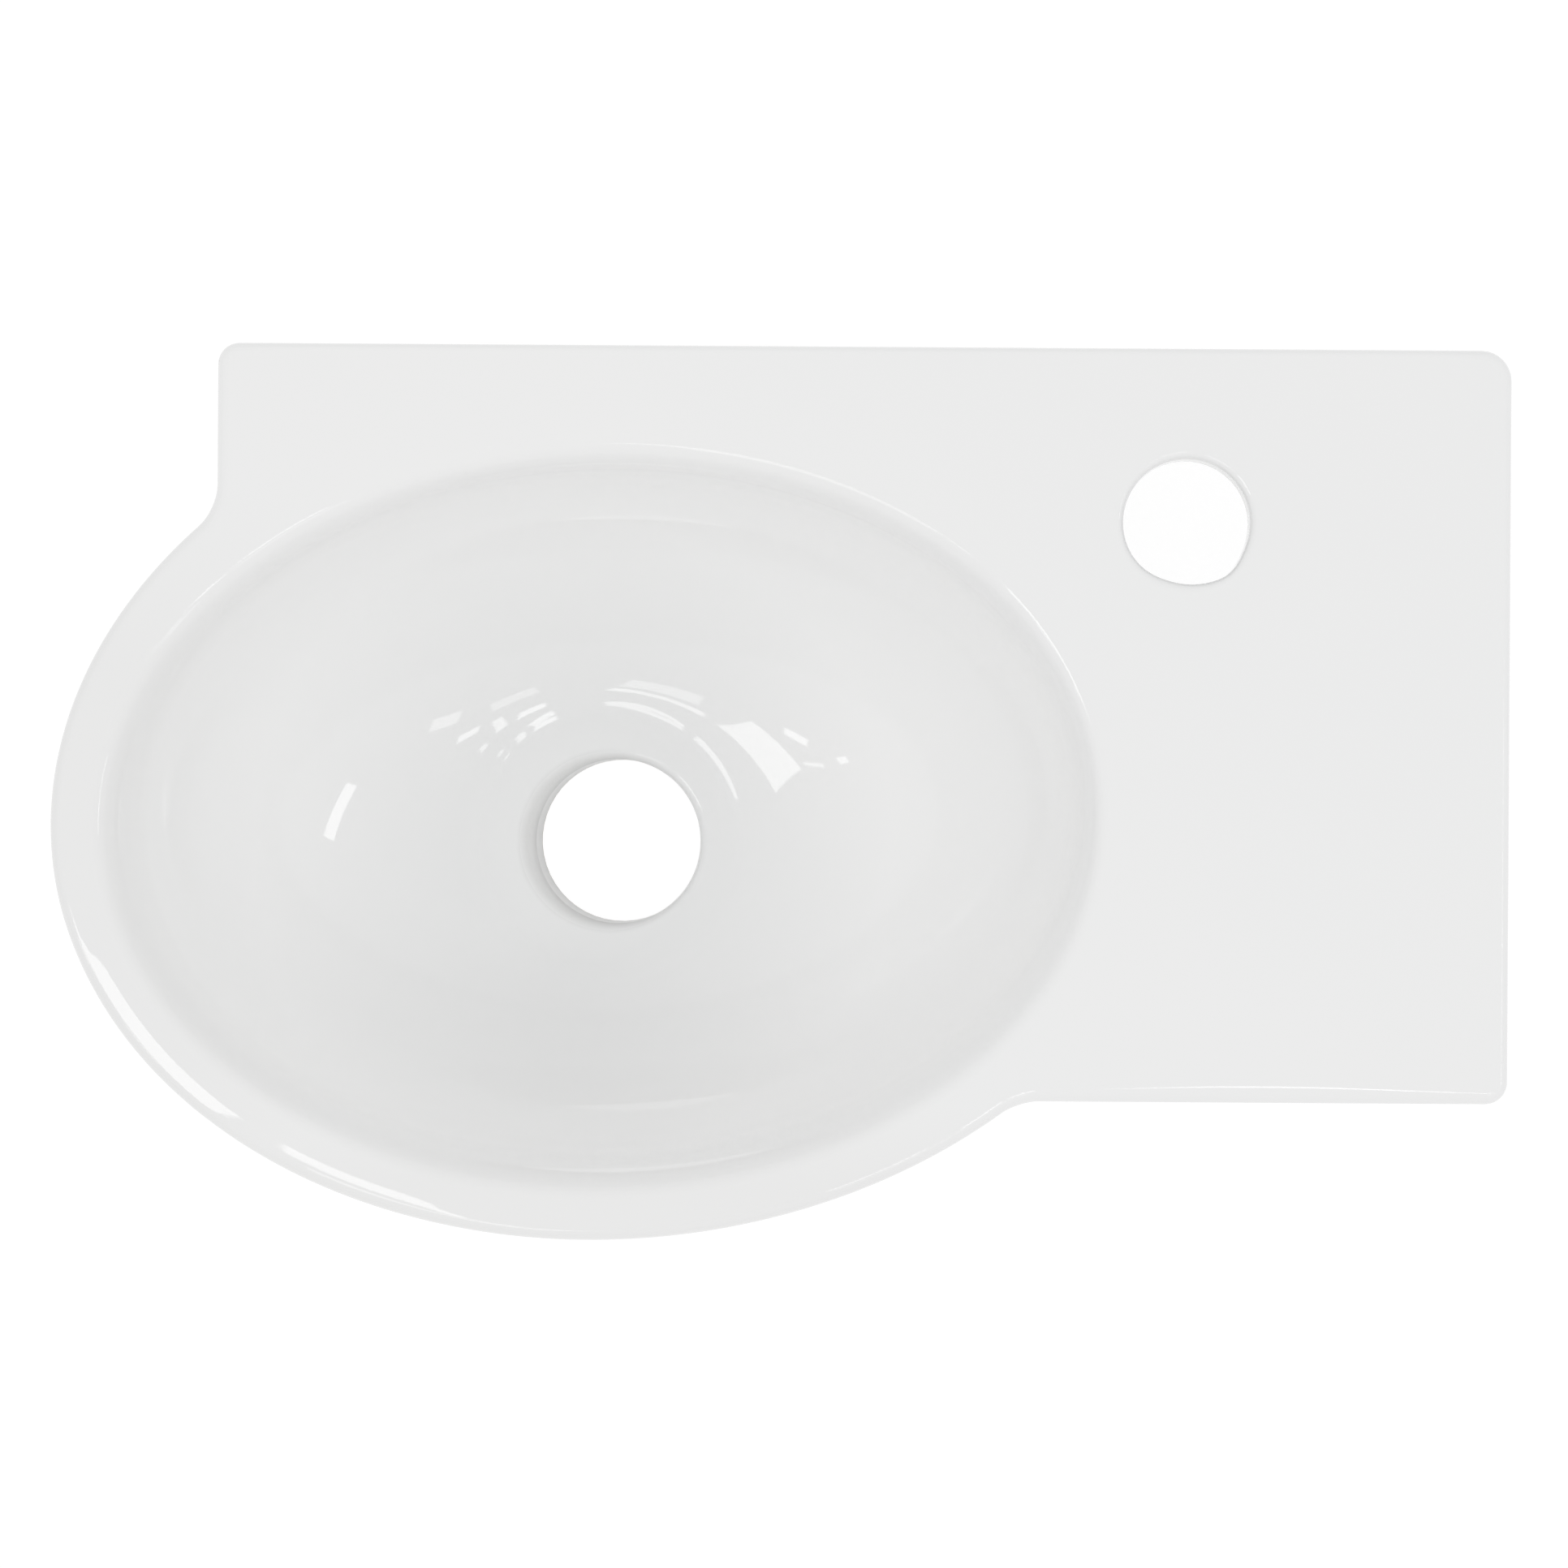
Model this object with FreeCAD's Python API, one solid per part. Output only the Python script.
import FreeCAD, Part
import math
import os

# Cloakroom hand basin in millimetres, bowl on the left and tap shelf on the right.
# X runs along the wall towards the tap shelf, Y points into the wall, Z is up.
# The origin lies on the wall face, midway between the two wall fixings.

# Deck outline, seen from above
back_width = 358.0  # straight edge against the wall
shelf_depth = 208.6  # wall face to the front of the tap shelf
back_left_corner = 6.0
back_right_corner = 8.5
front_right_corner = 6.2
left_blend = 15.0  # hollow corner between the left side and the oval rim
front_blend = 17.0  # hollow corner between the shelf front and the oval rim

# Heights and edges of the deck
band_height = 40.0  # depth of the upright band round the deck
deck_thickness = 12.0
deck_edge = 5.0  # rounding of the deck's outer edge
band_edge = 5.0  # rounding of the band's lower edge
shelf_wall = 10.0

# Apron, the plate that hangs behind the bowl against the wall
apron_height = 98.0
apron_thickness = 12.0
rib_reach = 62.0  # how far the two end ribs run out from the wall
rib_foot_past_corner = 4.0  # their level bottoms, past the corner with the plate
apron_edge = 3.0  # rounding of the apron's and ribs' lower edges
pocket_corner = 8.0  # upright corners inside the hollow underside
ceiling_corner = 4.0  # corner between those walls and the deck's underside

# Bowl, an oval that narrows and turns round as it goes down to the waste
bowl_long = 266.0  # across the bowl below its rounded edge
bowl_short = 195.4
bowl_turn = 2.0  # degrees that its right end is turned towards the wall
bowl_left_of_middle = 72.0
bowl_from_wall = 130.2
bowl_edge = 5.0  # rounding from the deck down into the bowl
bowl_depth = 96.0  # deck to the edge of the waste recess
bowl_wall = 10.5
side_power = 1.0  # of the sine that gives the bowl's depth
floor_power = 1.25  # of the cosine that gives its width
bowl_steps = 8

# Oval rim, placed and sized from the bowl that it goes round
rim_past_ends = 25.5
rim_past_sides = 23.1
rim_shift_right = 5.5
rim_shift_to_wall = 3.7
rim_turn = 6.0

# Waste hole, its recess and the boss below it
waste_forward = 7.8  # waste axis, in front of the bowl's middle
waste_diameter = 47.0
waste_edge = 3.0
recess_diameter = 80.0
recess_depth = 3.5
recess_shoulder = 5.5  # width of the soft step at the recess edge
boss_diameter = 74.0
boss_length = 18.5  # below the bowl
boss_root = 8.0  # hollow rounding where the boss meets the bowl
boss_edge = 3.0

# Tap hole
tap_right_of_middle = 89.2
tap_from_wall = 48.2
tap_diameter = 35.0
tap_edge = 2.6

# Wall fixings
fixing_spacing = 260.0
fixing_below_deck = 55.0
bush_bore = 8.6  # clears an M8 hanger bolt
bush_sleeve = 13.6
bush_clearance = 0.3  # between the sleeve and the ceramic, all round
bush_flange = 26.0
bush_flange_thickness = 3.0
bush_chamfer = 0.6  # round the flange's front

# How far a cut runs past the face that it starts from
overrun = 6.0

# Heights and places that follow from the sizes above
deck_top = fixing_below_deck
deck_underside = deck_top - deck_thickness
band_bottom = deck_top - band_height
apron_bottom = deck_top - apron_height
ring_height = deck_top - bowl_depth
recess_floor = ring_height - recess_depth
shell_bottom = ring_height - bowl_wall
boss_bottom = shell_bottom - boss_length
rib_foot = apron_thickness + pocket_corner + rib_foot_past_corner
bowl_x = -bowl_left_of_middle
bowl_y = -bowl_from_wall
rim_x = bowl_x + rim_shift_right
rim_y = bowl_y + rim_shift_to_wall
waste_x = bowl_x
waste_y = bowl_y - waste_forward
tap_x = tap_right_of_middle
tap_y = -tap_from_wall

UP = FreeCAD.Vector(0, 0, 1)
TO_WALL = FreeCAD.Vector(0, 1, 0)
ORIGIN = FreeCAD.Vector(0, 0, 0)
CLOSE = Part.Precision.approximation()


def oval(centre_x, centre_y, height, long_way, short_way, turn):
    """Closed oval wire, lying flat at a height."""
    curve = Part.Ellipse(ORIGIN, long_way / 2, short_way / 2)
    wire = Part.Wire([curve.toShape()])
    wire.rotate(ORIGIN, UP, turn)
    wire.translate(FreeCAD.Vector(centre_x, centre_y, height))
    return wire


def block(low_x, high_x, low_y, high_y, low_z, high_z):
    """Plain block between two corners."""
    corner = FreeCAD.Vector(low_x, low_y, low_z)
    return Part.makeBox(high_x - low_x, high_y - low_y, high_z - low_z, corner)


def upright_edges(shape):
    """Straight edges that stand upright."""
    found = []
    for edge in shape.Edges:
        rise = abs(edge.Vertexes[-1].Z - edge.Vertexes[0].Z)
        if abs(edge.Length - rise) < CLOSE:
            found.append(edge)
    return found


def nearest_upright(shape, x, y):
    """The upright edge that stands nearest to a place in plan."""
    def distance(edge):
        return math.hypot(edge.Vertexes[0].X - x, edge.Vertexes[0].Y - y)
    return min(upright_edges(shape), key=distance)


def edges_at_height(shape, height):
    """Edges that lie wholly in one level plane."""
    found = []
    for edge in shape.Edges:
        box = edge.BoundBox
        if max(abs(box.ZMin - height), abs(box.ZMax - height)) < CLOSE:
            found.append(edge)
    return found


def looks_down(face):
    """Whether a face looks down at its middle."""
    low_u, high_u, low_v, high_v = face.ParameterRange
    return face.normalAt((low_u + high_u) / 2, (low_v + high_v) / 2).z < 0


def deck_band():
    """Deck and upright band: a rectangle joined to the oval rim, with its edges rounded."""
    half = back_width / 2
    shelf = block(-half, half, -shelf_depth, 0, band_bottom, deck_top)
    rim = Part.Face(oval(rim_x, rim_y, band_bottom, bowl_long + 2 * rim_past_ends,
                         bowl_short + 2 * rim_past_sides, rim_turn))
    band = shelf.fuse(rim.extrude(UP * band_height)).removeSplitter()
    left_edge = nearest_upright(band, -half, rim_y / 2)
    band = band.makeFillet(left_blend, [left_edge])
    front_edge = nearest_upright(band, 0, -shelf_depth)
    band = band.makeFillet(front_blend, [front_edge])
    for x, y, radius in ((-half, 0, back_left_corner),
                         (half, 0, back_right_corner),
                         (half, -shelf_depth, front_right_corner)):
        band = band.makeFillet(radius, [nearest_upright(band, x, y)])
    band = band.makeFillet(deck_edge, edges_at_height(band, deck_top))
    return band.makeFillet(band_edge, edges_at_height(band, band_bottom))


def pocket_block(foot):
    """Inside of the apron, its end ribs and the shelf's walls, from a level up to the ceiling."""
    half = back_width / 2 - shelf_wall
    front = -shelf_depth + shelf_wall
    pocket = block(-half, half, front, -apron_thickness, foot, deck_underside)
    return pocket.makeFillet(pocket_corner, upright_edges(pocket))


def underside_pocket():
    """Hollow under the deck, with a rounded corner along its ceiling."""
    pocket = pocket_block(apron_bottom - overrun)
    return pocket.makeFillet(ceiling_corner, edges_at_height(pocket, deck_underside))


def rib_slope():
    """Wedge below the sloping front of the ribs, run on past both ends of the slope."""
    half = back_width / 2 + overrun
    run = (rib_reach - rib_foot) / (band_bottom - apron_bottom) * overrun
    side = [(-rib_foot + run, apron_bottom - overrun),
            (-rib_reach - run, band_bottom + overrun),
            (-rib_reach - run - overrun, band_bottom + overrun),
            (-rib_reach - run - overrun, apron_bottom - overrun),
            (-rib_foot + run, apron_bottom - overrun)]
    outline = Part.makePolygon([FreeCAD.Vector(-half, y, z) for y, z in side])
    return Part.Face(outline).extrude(FreeCAD.Vector(2 * half, 0, 0))


def apron():
    """Wall plate with an end rib at each side, its lower edges rounded inside and out."""
    half = back_width / 2
    plate = block(-half, half, -rib_reach, 0, apron_bottom, deck_underside)
    for x, radius in ((-half, back_left_corner), (half, back_right_corner)):
        plate = plate.makeFillet(radius, [nearest_upright(plate, x, 0)])
    plate = plate.cut(pocket_block(apron_bottom - overrun).fuse(rib_slope()))
    lower_edges = []
    for face in plate.Faces:
        if looks_down(face):
            for edge in face.Edges:
                known = any(edge.isSame(other) for other in lower_edges)
                if edge.BoundBox.ZMin < band_bottom - CLOSE and not known:
                    lower_edges.append(edge)
    return plate.makeFillet(apron_edge, lower_edges)


def bowl_oval(share, wall):
    """Oval through the bowl: share 0 is at the deck and share 1 at the waste recess."""
    angle = math.radians(90 * share)
    inward = 1 - max(math.cos(angle), 0) ** floor_power
    down = math.sin(angle) ** side_power
    long_way = bowl_long + (recess_diameter - bowl_long) * inward + 2 * wall
    short_way = bowl_short + (recess_diameter - bowl_short) * inward + 2 * wall
    centre_y = bowl_y + (waste_y - bowl_y) * inward
    height = deck_top - (bowl_depth + wall) * down
    return oval(bowl_x, centre_y, height, long_way, short_way, bowl_turn)


def bowl_hollow():
    """Inside of the bowl, carried up through the deck."""
    lip = bowl_oval(0, 0)
    lip.translate(UP * overrun)
    ovals = [bowl_oval(step / bowl_steps, 0) for step in range(bowl_steps + 1)]
    return Part.makeLoft([lip] + ovals, True, False)


def bowl_shell():
    """Outside of the bowl below the deck, one wall away from the inside."""
    top = bowl_oval(0, bowl_wall)
    top.translate(UP * -deck_thickness)
    ovals = [bowl_oval(step / bowl_steps, bowl_wall) for step in range(1, bowl_steps + 1)]
    return Part.makeLoft([top] + ovals, True, False)


def waste_turning(points):
    """Solid of revolution about the waste axis, from pairs of radius and height."""
    wire = Part.makePolygon([FreeCAD.Vector(radius, 0, height) for radius, height in points])
    solid = Part.Face(wire).revolve(ORIGIN, UP, 360)
    solid.translate(FreeCAD.Vector(waste_x, waste_y, 0))
    return solid


def waste_boss():
    """Thick boss under the bowl that the waste clamps to, hollowed out at its root."""
    root = ring_height - bowl_wall / 2
    side = boss_diameter / 2
    boss = waste_turning([(0, root), (side + boss_root, root), (side + boss_root, shell_bottom),
                          (side + boss_root, shell_bottom - boss_root),
                          (side, shell_bottom - boss_root), (side, boss_bottom),
                          (0, boss_bottom), (0, root)])
    middle = FreeCAD.Vector(waste_x, waste_y, shell_bottom - boss_root)
    boss = boss.cut(Part.makeTorus(side + boss_root, boss_root, middle, UP))
    return boss.makeFillet(boss_edge, edges_at_height(boss, boss_bottom))


def bowl_outside():
    """Outside of the bowl with the waste boss below it."""
    return bowl_shell().fuse(waste_boss()).removeSplitter()


def waste_recess():
    """Shallow recess round the waste hole, with a soft step at its edge."""
    edge = recess_diameter / 2
    return waste_turning([(0, ring_height), (edge, ring_height),
                          (edge - recess_shoulder, recess_floor),
                          (0, recess_floor), (0, ring_height)])


def bowl_mouth(shape):
    """The level edge where the bowl opens in the deck: its middle is nearest the bowl's."""
    def distance(edge):
        middle = edge.BoundBox.Center
        return math.hypot(middle.x - bowl_x, middle.y - bowl_y)
    return min(edges_at_height(shape, deck_top), key=distance)


def rounded_drill(x, y, diameter, edge, bottom, surface):
    """Upright drill whose mouth flares out in a rounded edge at the surface."""
    foot = FreeCAD.Vector(x, y, bottom)
    drill = Part.makeCylinder(diameter / 2, surface - bottom, foot, UP)
    mouth = FreeCAD.Vector(x, y, surface - edge)
    flare = Part.makeCylinder(diameter / 2 + edge, edge + overrun, mouth, UP)
    ring = Part.makeTorus(diameter / 2 + edge, edge, mouth, UP)
    return drill.fuse(flare.cut(ring))


def wall_hole(side):
    """Drill through the apron for one wall fixing."""
    start = FreeCAD.Vector(side * fixing_spacing / 2, -apron_thickness - overrun, 0)
    radius = bush_sleeve / 2 + bush_clearance
    return Part.makeCylinder(radius, apron_thickness + 2 * overrun, start, TO_WALL)


def basin_body():
    """The one fired ceramic casting."""
    body = deck_band().cut(underside_pocket()).fuse(apron())
    body = body.fuse(bowl_outside())
    body = body.cut(bowl_hollow().fuse(waste_recess()))
    body = body.makeFillet(bowl_edge, [bowl_mouth(body)])
    body = body.cut(rounded_drill(waste_x, waste_y, waste_diameter, waste_edge,
                                  boss_bottom - overrun, recess_floor))
    body = body.cut(rounded_drill(tap_x, tap_y, tap_diameter, tap_edge,
                                  deck_underside - overrun, deck_top))
    for side in (-1, 1):
        body = body.cut(wall_hole(side))
    return body


def wall_bush(side):
    """Flanged nylon bush, pushed into the apron from the front."""
    front = -apron_thickness - bush_flange_thickness
    start = FreeCAD.Vector(side * fixing_spacing / 2, front, 0)
    flange = Part.makeCylinder(bush_flange / 2, bush_flange_thickness, start, TO_WALL)
    front_rim = [edge for edge in flange.Edges if abs(edge.BoundBox.YMax - front) < CLOSE]
    flange = flange.makeChamfer(bush_chamfer, front_rim)
    sleeve = Part.makeCylinder(bush_sleeve / 2, -front, start, TO_WALL)
    bore = Part.makeCylinder(bush_bore / 2, -front + overrun, start, TO_WALL)
    return flange.fuse(sleeve).cut(bore)


def save(shape, node):
    """Write one piece as STEP and print what it is."""
    shape.exportStep("parts/" + node + ".step")
    print(node, len(shape.Solids), "solid, valid", shape.isValid(), "volume", round(shape.Volume))


os.makedirs("parts", exist_ok=True)
save(basin_body(), "basin_body")
save(wall_bush(-1), "left_wall_bush")
save(wall_bush(1), "right_wall_bush")
